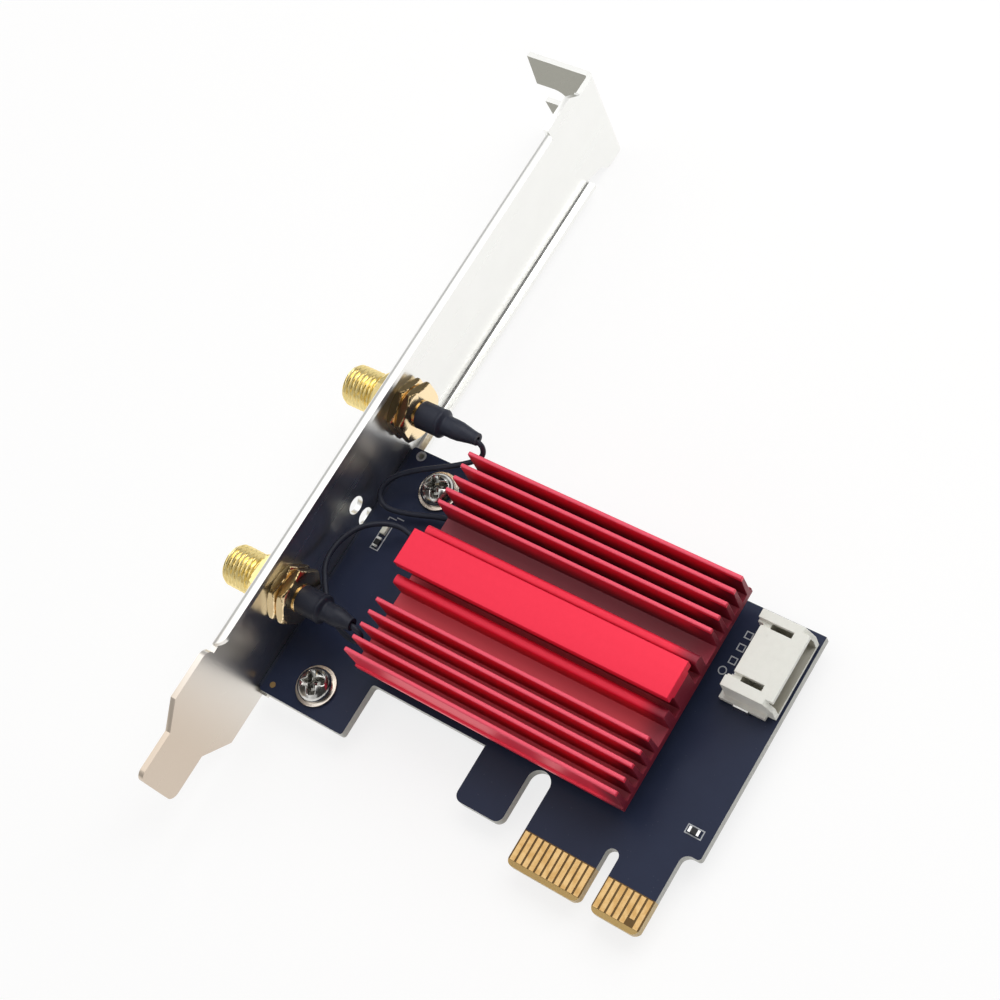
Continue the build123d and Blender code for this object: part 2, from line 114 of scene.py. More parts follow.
def makeGrain():
    # fine grain: noise at the given scale, spread about its middle by the contrast
    group, start, end = newGroup(
        "fineGrain",
        [("Vector", "NodeSocketVector", None), ("Scale", "NodeSocketFloat", 900.0), ("Contrast", "NodeSocketFloat", 1.0)],
        [("Grain", "NodeSocketFloat")])
    noise = noiseNode(group, start.outputs["Vector"], start.outputs["Scale"], 4.0)
    centred = mathNode(group, "SUBTRACT", noise, 0.5)
    spread = mathNode(group, "MULTIPLY", centred, start.outputs["Contrast"])
    group.links.new(mathNode(group, "ADD", spread, 0.5, True), end.inputs["Grain"])
    return group


def makeDrawLines():
    # drawn lines: noise squeezed along one axis, so it runs in streaks along the others' normal
    group, start, end = newGroup(
        "drawLines",
        [("Vector", "NodeSocketVector", None), ("Squeeze", "NodeSocketVector", (20.0, 2000.0, 2000.0))],
        [("Lines", "NodeSocketFloat")])
    scaled = group.nodes.new("ShaderNodeVectorMath")
    scaled.operation = "MULTIPLY"
    group.links.new(start.outputs["Vector"], scaled.inputs[0])
    group.links.new(start.outputs["Squeeze"], scaled.inputs[1])
    group.links.new(noiseNode(group, scaled.outputs[0], 1.0, 4.0, 0.6), end.inputs["Lines"])
    return group


def makeRub():
    # edge rub: the outward curve of the mesh, broken up by noise
    group, start, end = newGroup(
        "edgeRub",
        [("Vector", "NodeSocketVector", None), ("Low", "NodeSocketFloat", 0.54), ("High", "NodeSocketFloat", 0.62)],
        [("Rub", "NodeSocketFloat")])
    geometry = group.nodes.new("ShaderNodeNewGeometry")
    mask = rampMask(group, geometry.outputs["Pointiness"], start.outputs["Low"], start.outputs["High"])
    breakUp = rampMask(group, noiseNode(group, start.outputs["Vector"], 700.0, 3.0), 0.35, 0.62)
    group.links.new(mathNode(group, "MULTIPLY", mask, breakUp), end.inputs["Rub"])
    return group


def makeSpecks():
    # specks: small round cells of which only those below the share are kept
    group, start, end = newGroup(
        "dustSpecks",
        [("Vector", "NodeSocketVector", None), ("Scale", "NodeSocketFloat", 600.0), ("Share", "NodeSocketFloat", 0.12)],
        [("Specks", "NodeSocketFloat")])
    cells = group.nodes.new("ShaderNodeTexVoronoi")
    group.links.new(start.outputs["Vector"], cells.inputs["Vector"])
    group.links.new(start.outputs["Scale"], cells.inputs["Scale"])
    pick = group.nodes.new("ShaderNodeSeparateColor")
    group.links.new(cells.outputs["Color"], pick.inputs[0])
    chosen = mathNode(group, "LESS_THAN", pick.outputs[0], start.outputs["Share"])
    near = rampMask(group, cells.outputs["Distance"], 0.28, 0.16)
    group.links.new(mathNode(group, "MULTIPLY", chosen, near), end.inputs["Specks"])
    return group


groups = {"grain": makeGrain(), "lines": makeDrawLines(), "rub": makeRub(), "specks": makeSpecks()}


def placeGroup(tree, key, vector, **values):
    node = tree.nodes.new("ShaderNodeGroup")
    node.node_tree = groups[key]
    tree.links.new(vector, node.inputs["Vector"])
    for label, value in values.items():
        node.inputs[label].default_value = value
    return node.outputs[0]


def mixColour(tree, mask, first, second):
    node = tree.nodes.new("ShaderNodeMix")
    node.data_type = "RGBA"
    sockets = [s for s in node.inputs if s.type == "RGBA"]
    if isinstance(mask, (int, float)):
        node.inputs[0].default_value = mask
    else:
        tree.links.new(mask, node.inputs[0])
    for socket, value in zip(sockets, (first, second)):
        if isinstance(value, tuple):
            socket.default_value = (*value, 1.0)
        else:
            tree.links.new(value, socket)
    return [s for s in node.outputs if s.type == "RGBA"][0]


def spanValue(tree, mask, low, high):
    node = tree.nodes.new("ShaderNodeMapRange")
    tree.links.new(mask, node.inputs["Value"])
    node.inputs["To Min"].default_value = low
    node.inputs["To Max"].default_value = high
    return node.outputs["Result"]


def splitAxes(tree, vector):
    node = tree.nodes.new("ShaderNodeSeparateXYZ")
    tree.links.new(vector, node.inputs[0])
    return node.outputs


def facing(tree):
    # the surface's own direction, in the part's coordinates
    return splitAxes(tree, tree.nodes.new("ShaderNodeTexCoord").outputs["Normal"])


def newFinish(name, **fixed):
    finish = bpy.data.materials.new(name)
    finish.use_nodes = True
    tree = finish.node_tree
    shader = tree.nodes["Principled BSDF"]
    for label, value in fixed.items():
        shader.inputs[label.replace("_", " ")].default_value = value
    coords = tree.nodes.new("ShaderNodeTexCoord")
    return finish, tree, shader, coords.outputs["Object"]


def addBump(tree, shader, height, strength, distance):
    bump = tree.nodes.new("ShaderNodeBump")
    bump.inputs["Strength"].default_value = strength
    bump.inputs["Distance"].default_value = distance
    tree.links.new(height, bump.inputs["Height"])
    tree.links.new(bump.outputs["Normal"], shader.inputs["Normal"])


bumpDepth = 0.03 * mm
speckShow = 0.35


def metalFinish(name, look):
    # plated metal: two close tones by grain, brighter where edges are rubbed, roughness by drawn lines
    finish, tree, shader, place = newFinish(name, Metallic=1.0)
    grain = placeGroup(tree, "grain", place, Scale=look["grainScale"], Contrast=1.4)
    tone = mixColour(tree, grain, look["deep"], look["light"])
    rub = placeGroup(tree, "rub", place)
    tone = mixColour(tree, mathNode(tree, "MULTIPLY", rub, look["rub"]), tone, look["edge"])
    tree.links.new(tone, shader.inputs["Base Color"])
    lines = placeGroup(tree, "lines", place, Squeeze=look["squeeze"])
    tree.links.new(spanValue(tree, lines, *look["rough"]), shader.inputs["Roughness"])
    addBump(tree, shader, lines, look["bump"], 0.02 * mm)
    return finish


def plasticFinish(name, look):
    # moulded stuff: two close tones by grain, a few pale specks, faint grain in the surface
    finish, tree, shader, place = newFinish(name, Specular_IOR_Level=look["gloss"])
    grain = placeGroup(tree, "grain", place, Scale=look["grainScale"], Contrast=1.6)
    tone = mixColour(tree, grain, look["deep"], look["light"])
    specks = placeGroup(tree, "specks", place, Share=look["specks"])
    tone = mixColour(tree, mathNode(tree, "MULTIPLY", specks, speckShow), tone, look["speckTone"])
    tree.links.new(tone, shader.inputs["Base Color"])
    tree.links.new(spanValue(tree, grain, *look["rough"]), shader.inputs["Roughness"])
    addBump(tree, shader, grain, look["bump"], bumpDepth)
    return finish


metalLooks = {
    "screwNickel": {"deep": (0.52, 0.515, 0.49), "light": (0.63, 0.625, 0.60), "edge": (0.85, 0.85, 0.83), "rub": 0.7,
                    "grainScale": 900.0, "squeeze": (1200.0, 1200.0, 300.0), "rough": (0.10, 0.24), "bump": 0.05},
    "washerCopper": {"deep": (0.66, 0.56, 0.47), "light": (0.76, 0.68, 0.60), "edge": (0.90, 0.86, 0.80), "rub": 0.7,
                     "grainScale": 900.0, "squeeze": (1200.0, 1200.0, 300.0), "rough": (0.12, 0.28), "bump": 0.05},
    "portGold": {"deep": (0.84, 0.66, 0.27), "light": (0.93, 0.77, 0.37), "edge": (1.0, 0.92, 0.62), "rub": 0.7,
                 "grainScale": 700.0, "squeeze": (1800.0, 400.0, 400.0), "rough": (0.15, 0.27), "bump": 0.03},
    "contactGold": {"deep": (0.43, 0.25, 0.088), "light": (0.51, 0.32, 0.125), "edge": (0.80, 0.60, 0.32), "rub": 0.3,
                    "grainScale": 1200.0, "squeeze": (3000.0, 150.0, 1500.0), "rough": (0.22, 0.40), "bump": 0.06},
    "shieldTin": {"deep": (0.60, 0.60, 0.58), "light": (0.72, 0.72, 0.70), "edge": (0.85, 0.85, 0.84), "rub": 0.5,
                  "grainScale": 500.0, "squeeze": (300.0, 1500.0, 1500.0), "rough": (0.22, 0.38), "bump": 0.04},
}
plasticLooks = {
    "moduleMask": {"deep": (0.010, 0.040, 0.022), "light": (0.014, 0.055, 0.030), "speckTone": (0.2, 0.25, 0.2), "specks": 0.04,
                   "gloss": 0.35, "grainScale": 800.0, "rough": (0.25, 0.40), "bump": 0.05},
    "padGrey": {"deep": (0.30, 0.31, 0.33), "light": (0.37, 0.38, 0.40), "speckTone": (0.5, 0.5, 0.5), "specks": 0.08,
                "gloss": 0.2, "grainScale": 1500.0, "rough": (0.75, 0.9), "bump": 0.3},
    "socketBlack": {"deep": (0.010, 0.010, 0.011), "light": (0.018, 0.018, 0.019), "speckTone": (0.15, 0.15, 0.15), "specks": 0.06,
                    "gloss": 0.3, "grainScale": 1800.0, "rough": (0.45, 0.6), "bump": 0.2},
    "headerWhite": {"deep": (0.85, 0.85, 0.78), "light": (0.91, 0.91, 0.84), "speckTone": (0.6, 0.58, 0.5), "specks": 0.03,
                    "gloss": 0.4, "grainScale": 1300.0, "rough": (0.30, 0.45), "bump": 0.08},
    "chipBlack": {"deep": (0.012, 0.012, 0.013), "light": (0.022, 0.022, 0.024), "speckTone": (0.3, 0.3, 0.3), "specks": 0.05,
                  "gloss": 0.3, "grainScale": 2500.0, "rough": (0.35, 0.55), "bump": 0.15},
    "insulatorWhite": {"deep": (0.78, 0.78, 0.75), "light": (0.85, 0.85, 0.83), "speckTone": (0.6, 0.6, 0.6), "specks": 0.03,
                       "gloss": 0.3, "grainScale": 1500.0, "rough": (0.4, 0.55), "bump": 0.08},
    "lightResin": {"deep": (0.74, 0.74, 0.62), "light": (0.82, 0.83, 0.72), "speckTone": (0.9, 0.9, 0.85), "specks": 0.03,
                   "gloss": 0.5, "grainScale": 1500.0, "rough": (0.12, 0.22), "bump": 0.04},
    "markWhite": {"deep": (0.42, 0.44, 0.46), "light": (0.55, 0.57, 0.59), "speckTone": (0.3, 0.3, 0.35), "specks": 0.10,
                  "gloss": 0.2, "grainScale": 3000.0, "rough": (0.55, 0.75), "bump": 0.2},
    "bootBlack": {"deep": (0.018, 0.021, 0.035), "light": (0.023, 0.027, 0.044), "speckTone": (0.12, 0.12, 0.14), "specks": 0.08,
                  "gloss": 0.3, "grainScale": 900.0, "rough": (0.42, 0.58), "bump": 0.25},
    "lipMask": {"deep": (0.026, 0.031, 0.052), "light": (0.034, 0.040, 0.064), "speckTone": (0.2, 0.2, 0.22), "specks": 0.03,
                "gloss": 0.15, "grainScale": 900.0, "rough": (0.35, 0.50), "bump": 0.05},
    "leadBlack": {"deep": (0.017, 0.020, 0.034), "light": (0.022, 0.026, 0.042), "speckTone": (0.10, 0.10, 0.11), "specks": 0.05,
                  "gloss": 0.25, "grainScale": 1200.0, "rough": (0.40, 0.55), "bump": 0.1},
}
finishes = {key: metalFinish(key, look) for key, look in metalLooks.items()}
finishes.update({key: plasticFinish(key, look) for key, look in plasticLooks.items()})

# the roots' dark tones are painted shade, darker on the upper side; tip is a painted highlight on the fin tops; end is
# painted shade low at the right end
redLook = {"deep": (0.88, 0.012, 0.052), "light": (0.92, 0.016, 0.058), "fin": (0.90, 0.028, 0.072), "tip": (0.82, 0.085, 0.14),
           "upperPaintedShade": (0.20, 0.026, 0.040), "lowerPaintedShade": (0.50, 0.032, 0.052), "paintedShadeLow": 5.2, "paintedShadeHigh": 9.8,
           "mid": 30.08, "outer": 16.3, "plateSide": 5.0, "paintedHighlightLow": 10.2,
           "end": (0.24, 0.012, 0.030), "paintedEndShadeStart": -4.5, "paintedEndShadeStop": -0.5, "paintedEndShadeHigh": 9.6,
           "grainScale": 1500.0, "squeeze": (25.0, 1400.0, 1400.0), "rough": (0.38, 0.52), "bump": 0.05}


def redFinish(look):
    # dyed metal with the die's lines along it, with painted shade at the fins' roots (darker on the upper side than on
    # the lower) and low at the sawn right end, and a painted highlight along the fin tips
    finish, tree, shader, place = newFinish("redAnodised", Metallic=0.3)
    grain = placeGroup(tree, "grain", place, Scale=look["grainScale"], Contrast=1.2)
    tone = mixColour(tree, grain, look["deep"], look["light"])
    axes = splitAxes(tree, place)
    height = axes["Z"]
    away = mathNode(tree, "ABSOLUTE", mathNode(tree, "SUBTRACT", axes["Y"], look["mid"] * mm))
    upper = mathNode(tree, "GREATER_THAN", axes["Y"], look["mid"] * mm)
    # painted shade at the fins' roots, darker on the upper side than on the lower
    root = mixColour(tree, upper, look["lowerPaintedShade"], look["upperPaintedShade"])
    # the painted shade fades out with height, and the outermost faces get none
    bright = rampMask(tree, height, look["paintedShadeLow"] * mm, look["paintedShadeHigh"] * mm)
    bright = mathNode(tree, "MAXIMUM", bright, mathNode(tree, "GREATER_THAN", away, look["outer"] * mm))
    fins = mathNode(tree, "GREATER_THAN", away, look["plateSide"] * mm)
    # painted highlight on the fin tops, above a set height
    tip = mathNode(tree, "MULTIPLY", mathNode(tree, "GREATER_THAN", height, look["paintedHighlightLow"] * mm), fins)
    tone = mixColour(tree, fins, tone, look["fin"])
    tone = mixColour(tree, tip, mixColour(tree, bright, root, tone), look["tip"])
    # painted shade low down at the right end
    end = rampMask(tree, axes["X"], look["paintedEndShadeStart"] * mm, look["paintedEndShadeStop"] * mm)
    end = mathNode(tree, "MULTIPLY", end, mathNode(tree, "LESS_THAN", height, look["paintedEndShadeHigh"] * mm))
    tone = mixColour(tree, end, tone, look["end"])
    tree.links.new(tone, shader.inputs["Base Color"])
    lines = placeGroup(tree, "lines", place, Squeeze=look["squeeze"])
    tree.links.new(spanValue(tree, lines, *look["rough"]), shader.inputs["Roughness"])
    addBump(tree, shader, lines, look["bump"], bumpDepth)
    return finish


# the warm tone down the tongue is a painted reflection of shade; the dull tone under the top tab is painted shade
steelLook = {"deep": (0.82, 0.82, 0.795), "light": (0.85, 0.85, 0.825), "paintedWarmReflection": (0.58, 0.49, 0.40),
             "paintedWarmReflectionTop": 14.0, "paintedWarmReflectionLow": -9.0, "paintedUnderShade": (0.27, 0.265, 0.225), "paintedUnderShadeLow": 104.0, "underTilt": -0.6,
             "grainScale": 240.0, "squeeze": (1500.0, 45.0, 1500.0), "rough": (0.25, 0.32)}


def steelFinish(look):
    # bright plated sheet, with a painted warm reflection of shade down the tongue and painted shade under the top tab
    finish, tree, shader, place = newFinish("bracketSteel", Metallic=1.0)
    grain = placeGroup(tree, "grain", place, Scale=look["grainScale"], Contrast=1.2)
    tone = mixColour(tree, grain, look["deep"], look["light"])
    axes = splitAxes(tree, place)
    # painted warm reflection of shade, stronger down the tongue
    paintedWarmReflection = rampMask(tree, axes["Y"], look["paintedWarmReflectionTop"] * mm, look["paintedWarmReflectionLow"] * mm)
    tone = mixColour(tree, paintedWarmReflection, tone, look["paintedWarmReflection"])
    # painted shade on the faces that look down under the top tab
    under = mathNode(tree, "LESS_THAN", facing(tree)["Y"], look["underTilt"])
    under = mathNode(tree, "MULTIPLY", under, mathNode(tree, "GREATER_THAN", axes["Y"], look["paintedUnderShadeLow"] * mm))
    tone = mixColour(tree, under, tone, look["paintedUnderShade"])
    tree.links.new(tone, shader.inputs["Base Color"])
    lines = placeGroup(tree, "lines", place, Squeeze=look["squeeze"])
    tree.links.new(spanValue(tree, lines, *look["rough"]), shader.inputs["Roughness"])
    return finish


boardLook = {"deep": (0.0215, 0.0280, 0.058), "light": (0.0260, 0.0340, 0.068), "speckTone": (0.3, 0.32, 0.36), "speckShow": 0.06,
             "core": (0.62, 0.62, 0.58), "coreDeep": (0.50, 0.50, 0.46), "bareCore": (0.70, 0.52, 0.25), "sideTilt": 0.55,
             "bare": (0.17, 0.10, 0.035), "bareTop": 5.75, "bareLeft": -12.6, "margin": (0.54, 0.37, 0.14), "marginTop": 1.38,
             "coat": (0.030, 0.034, 0.055), "coated": -57.7, "rough": (0.26, 0.40), "bump": 0.06}


def boardFinish(look):
    # solder mask on both faces and on the edge by the bracket, laminate on the other edges,
    # bare laminate round the edge contacts
    finish, tree, shader, place = newFinish("boardMask", Specular_IOR_Level=0.13)
    grain = placeGroup(tree, "grain", place, Scale=260.0, Contrast=1.5)
    mask = mixColour(tree, grain, look["deep"], look["light"])
    specks = placeGroup(tree, "specks", place, Scale=2600.0, Share=0.03)
    mask = mixColour(tree, mathNode(tree, "MULTIPLY", specks, look["speckShow"]), mask, look["speckTone"])
    axes = splitAxes(tree, place)
    low = mathNode(tree, "LESS_THAN", axes["Y"], look["bareTop"] * mm)
    tongue = mathNode(tree, "GREATER_THAN", axes["X"], look["bareLeft"] * mm)
    bare = mathNode(tree, "MULTIPLY", low, tongue)
    margin = mathNode(tree, "LESS_THAN", axes["Y"], look["marginTop"] * mm)
    faces = mixColour(tree, bare, mask, mixColour(tree, margin, look["bare"], look["margin"]))
    side = mathNode(tree, "LESS_THAN", mathNode(tree, "ABSOLUTE", facing(tree)["Z"]), look["sideTilt"])
    weave = placeGroup(tree, "lines", place, Squeeze=(400.0, 400.0, 6000.0))
    core = mixColour(tree, weave, look["coreDeep"], look["core"])
    core = mixColour(tree, bare, core, look["bareCore"])
    coated = mathNode(tree, "LESS_THAN", axes["X"], look["coated"] * mm)
    core = mixColour(tree, coated, core, look["coat"])
    tree.links.new(mixColour(tree, side, faces, core), shader.inputs["Base Color"])
    tree.links.new(spanValue(tree, grain, *look["rough"]), shader.inputs["Roughness"])
    addBump(tree, shader, grain, look["bump"], bumpDepth)
    return finish


# painted shade and painted reflections, set by boxes in the parts' own coordinates
paintedLightBoxes = {
    # painted shade inside the header's mouth
    "headerWhite": {"tone": (0.40, 0.38, 0.31), "boxes": [((4.65, 34.25, 0.9), (10.3, 44.45, 4.3))]},
    # painted shade in the screw heads' recesses
    "screwNickel": {"tone": (0.23, 0.226, 0.21), "boxes": [((-51.25, 7.5, 1.0), (-48.55, 10.2, 1.85)),
                                                           ((-51.45, 40.55, 1.0), (-48.75, 43.25, 1.85))]},
    # painted shade on the lower boot
    "bootBlack": {"tone": (0.010, 0.012, 0.023), "boxes": [((-58.0, 15.0, 0.0), (-40.0, 36.0, 16.0))]},
    # a painted pale reflection on the ports' inner ends, and a painted dark reflection on their upward faces
    "portGold": {"tone": (0.93, 0.74, 0.46), "paintedUpReflection": (0.52, 0.38, 0.19), "paintedUpReflectionTilt": (0.35, 0.75),
                 "boxes": [((-58.2, 0.0, 0.0), (-50.0, 60.0, 16.0))]},
}


def paintLightInBoxes(finish, look):
    # another tone inside some boxes, in the part's own coordinates: painted shade in the header's mouth, in the screws'
    # recesses and on the lower boot, and a painted pale reflection on the ports' inner ends, with a painted dark
    # reflection where they face up
    tree = finish.node_tree
    shader = tree.nodes["Principled BSDF"]
    tone = shader.inputs["Base Color"].links[0].from_socket
    axes = splitAxes(tree, tree.nodes.new("ShaderNodeTexCoord").outputs["Object"])
    for lowCorner, highCorner in look["boxes"]:
        inside = 1.0
        for axis, low, high in zip("XYZ", lowCorner, highCorner):
            inside = mathNode(tree, "MULTIPLY", mathNode(tree, "GREATER_THAN", axes[axis], low * mm), inside)
            inside = mathNode(tree, "MULTIPLY", mathNode(tree, "LESS_THAN", axes[axis], high * mm), inside)
        # painted shade or painted reflection inside the box
        tone = mixColour(tree, inside, tone, look["tone"])
        # painted dark reflection where the faces look up
        if "paintedUpReflection" in look:
            upward = rampMask(tree, facing(tree)["Z"], *look["paintedUpReflectionTilt"])
            tone = mixColour(tree, mathNode(tree, "MULTIPLY", inside, upward), tone, look["paintedUpReflection"])
    tree.links.new(tone, shader.inputs["Base Color"])


for key, look in paintedLightBoxes.items():
    paintLightInBoxes(finishes[key], look)
finishes["redAnodised"] = redFinish(redLook)
finishes["boardMask"] = boardFinish(boardLook)
finishes["bracketSteel"] = steelFinish(steelLook)
print("finishes made:", len(finishes))


# mesh helpers

def gridFaces(rows, columns, start=0):
    # quads between neighbouring rings; the last column joins the first
    i = np.arange(rows - 1)[:, None]
    j = np.arange(columns)[None, :]
    k = (j + 1) % columns
    quads = np.stack([i * columns + j, i * columns + k, (i + 1) * columns + k, (i + 1) * columns + j], -1)
    return quads.reshape(-1, 4) + start


def seatPiece(piece, finish, replaced):
    piece.data.materials.clear()
    piece.data.materials.append(finishes[finish])
    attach(piece, "root")
    if replaced:
        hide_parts(*replaced)
    return piece


def addPiece(name, points, faces, finish, slotName, replaced=(), sharp=40, solid=True):
    # points in millimetres; doubles at poles are merged and the shell turned outwards
    work = bmesh.new()
    mesh = bpy.data.meshes.new(name)
    mesh.from_pydata((np.asarray(points, float).reshape(-1, 3) * mm).tolist(), [], [tuple(f) for f in faces])
    work.from_mesh(mesh)
    bmesh.ops.remove_doubles(work, verts=work.verts, dist=1e-7)
    if solid:
        bmesh.ops.recalc_face_normals(work, faces=work.faces)
    work.to_mesh(mesh)
    work.free()
    mesh.shade_smooth()
    mesh.set_sharp_from_angle(angle=np.radians(sharp))
    piece = bpy.data.objects.new(name, mesh)
    scene.collection.objects.link(piece)
    return seatPiece(piece, finish, replaced)


def easedCopy(name, node, width, finish, segments=2, limit=40):
    # the node's own solid, merged, with every hard edge eased by a small round
    work = bmesh.new()
    work.from_mesh(nodes[node].data)
    bmesh.ops.remove_doubles(work, verts=work.verts, dist=2e-6)
    bmesh.ops.dissolve_limit(work, angle_limit=np.radians(0.6), verts=work.verts, edges=work.edges)
    mesh = bpy.data.meshes.new(name)
    work.to_mesh(mesh)
    work.free()
    mesh.shade_smooth()
    mesh.set_sharp_from_angle(angle=np.radians(limit))
    piece = bpy.data.objects.new(name, mesh)
    scene.collection.objects.link(piece)
    ease = piece.modifiers.new("easedEdges", "BEVEL")
    ease.width = width * mm
    ease.segments = segments
    ease.limit_method = "ANGLE"
    ease.angle_limit = np.radians(limit)
    ease.use_clamp_overlap = True
    ease.harden_normals = True
    return seatPiece(piece, finish, (node,))


def turned(stations, y, z, columns):
    # rings about a line along X: station i has its own place along X and a radius for each angle
    angle = np.linspace(0, 2 * np.pi, columns, endpoint=False)
    x = np.array([s[0] for s in stations])[:, None] + np.zeros(columns)
    r = np.stack([s[1](angle) if callable(s[1]) else np.full(columns, float(s[1])) for s in stations])
    return np.stack([x, y + r * np.cos(angle), z + r * np.sin(angle)], -1)


def hexRadius(angle, flats, turnDeg, cap):
    # distance to a hexagon's side at each angle, capped by the chamfer cone's radius there
    wrapped = (angle - np.radians(turnDeg) + np.pi / 6) % (np.pi / 3) - np.pi / 6
    return np.minimum(flats / 2 / np.cos(wrapped), cap)


# leads: one smooth spline each, along the solids' route; the upper one's first bends are drawn a little freer
lead = {"diameter": 0.81}
routes = {
    "upper": [(-49.6, 49.2, 7.7), (-44.7, 49.2, 7.7), (-44.0, 48.2, 5.6), (-45.3, 46.9, 4.7), (-48.6, 44.6, 4.6),
              (-53.3, 42.3, 3.9), (-56.4, 39.9, 3.3), (-57.1, 37.2, 2.7), (-55.2, 35.7, 1.9), (-51.2, 36.8, 1.4),
              (-47.0, 38.2, 1.6), (-43.6, 38.5, 2.7), (-40.0, 37.7, 3.0)],
    "lower": [(-49.6, 17.7, 7.7), (-44.7, 17.7, 7.7), (-45.0, 16.4, 4.9), (-48.0, 16.3, 3.9), (-51.9, 18.0, 4.7),
              (-54.35, 20.95, 5.35), (-56.7, 24.2, 5.6), (-56.8, 28.2, 5.1), (-55.4, 32.0, 4.0), (-51.4, 34.6, 2.4),
              (-47.0, 33.2, 1.7), (-44.7, 29.4, 2.3), (-42.7, 25.6, 3.0), (-39.75, 23.25, 3.0)],
}


def makeLead(side, route):
    curve = bpy.data.curves.new(side + "_lead_coax", "CURVE")
    curve.dimensions = "3D"
    spline = curve.splines.new("NURBS")
    spline.points.add(len(route) - 1)
    points = np.ones((len(route), 4))
    points[:, :3] = np.array(route) * mm
    spline.points.foreach_set("co", points.ravel())
    spline.order_u = 3
    spline.use_endpoint_u = True
    spline.resolution_u = 10
    curve.bevel_depth = lead["diameter"] * mm / 2
    curve.bevel_resolution = 5
    curve.use_fill_caps = True
    piece = bpy.data.objects.new(side + "_lead_coax", curve)
    scene.collection.objects.link(piece)
    seatPiece(piece, "leadBlack", (side + "_lead",))
    return piece


for side, route in routes.items():
    makeLead(side, route)
print("leads laid")

# ports: threaded barrel, neck and hexagon in one turned skin
port = {"y": {"upper": 49.2, "lower": 17.7}, "z": 7.7, "tip": -67.5, "threadR": 3.175, "threadDeep": 0.34, "pitch": 0.7056,
        "boreR": 2.3, "boreDeep": 4.2, "neckR": 2.9, "nutFace": -61.81, "inner": -58.15, "sheet": 0.86, "lock": 0.6,
        "flats": 8.0, "turn": {"upper": 57.0, "lower": 26.0}, "hexThick": 3.0, "groove": (1.35, 1.6), "grooveR": 3.6,
        "ringR": 2.12, "stub": 0.25, "columns": 120}


def threadStations():
    # thread: the radius falls from the crest by a triangle wave whose phase turns once per pitch
    length = port["nutFace"] - port["tip"]
    steps = np.linspace(0.0, 1.0, 110)
    stations = []
    for s in steps:
        along = s * length
        leadIn = np.clip(1 - along / 0.55, 0, 1) * 0.35
        fade = np.clip((length - along) / 0.2, 0, 1)

        def radius(angle, along=along, leadIn=leadIn, fade=fade):
            phase = (along / port["pitch"] - angle / (2 * np.pi)) % 1.0
            dip = np.clip(np.abs(phase - 0.5) * 2.6 - 0.15, 0, 1) * port["threadDeep"] * fade
            return np.minimum(port["threadR"] - dip, port["threadR"] - leadIn)
        stations.append((port["tip"] + along, radius))
    return stations


def hexStations(start, thick, flats, turnDeg):
    # a hexagon whose corners are cut by a cone at both faces
    stations = []
    for s in np.linspace(0, 1, 14):
        depth = s * thick
        cap = flats / 2 * 0.985 + min(depth, thick - depth) * 1.75
        stations.append((start + depth, lambda angle, cap=cap: hexRadius(angle, flats, turnDeg, cap)))
    return stations


def makePort(side):
    y, z, tip, inner = port["y"][side], port["z"], port["tip"], port["inner"]
    front = inner + port["hexThick"]
    stations = [(tip + port["boreDeep"], 0.0), (tip + port["boreDeep"], port["boreR"]), (tip + 0.12, port["boreR"]),
                (tip, port["boreR"] + 0.14)]
    stations += threadStations()
    stations += [(port["nutFace"], port["neckR"]), (inner, port["neckR"])]
    turnDeg, (cut, rest) = port["turn"][side], port["groove"]
    stations += hexStations(inner, cut, port["flats"], turnDeg)
    stations += [(inner + cut, port["grooveR"]), (inner + rest, port["grooveR"])]
    stations += hexStations(inner + rest, port["hexThick"] - rest, port["flats"], turnDeg)
    end = front + port["stub"]
    stations += [(front, port["ringR"]), (end - 0.05, port["ringR"]), (end, port["ringR"] - 0.06), (end, 0.0)]
    points = turned(stations, y, z, port["columns"])
    addPiece(side + "_port_threaded", points, gridFaces(len(stations), port["columns"]), "portGold", "port_gold",
             (side + "_port_body",), sharp=32)
    face = inner - port["sheet"] - port["lock"]
    thick = face - port["nutFace"]
    body = hexStations(port["nutFace"], thick, port["flats"], turnDeg)
    bore = port["neckR"] + 0.02
    ring = [(port["nutFace"], bore), *body, (face, bore), (port["nutFace"], bore)]
    addPiece(side + "_hex_nut", turned(ring, y, z, port["columns"]), gridFaces(len(ring), port["columns"]),
             "portGold", "port_gold", (side + "_port_nut",), sharp=32)


# boots: shrunk sleeve over the crimp, with a step, a neck and a taper
boot = {"start": 3.25, "r": 2.1, "shoulder": 7.0, "neck": 7.9, "neckR": 1.5, "taper": 9.7, "endR": 0.95, "ridge": 0.07,
        "ferruleR": 1.55, "seat": 3.4, "ends": {"upper": 13.1, "lower": 12.0}, "columns": 64}


def sleeveRadius(s, end):
    # radius along the sleeve: smooth steps between the body, the neck and the end, and a low ridge at the shoulder
    def step(a, b):
        t = np.clip((s - a) / (b - a), 0, 1)
        return t * t * (3 - 2 * t)
    ridge = boot["ridge"] * np.exp(-((s - boot["shoulder"] + 0.15) / 0.2) ** 2)
    neck = (boot["neckR"] - boot["r"]) * step(boot["shoulder"], boot["neck"] - 0.3)
    return boot["r"] + ridge + neck + (boot["endR"] - boot["neckR"]) * step(boot["taper"] - 0.6, end)


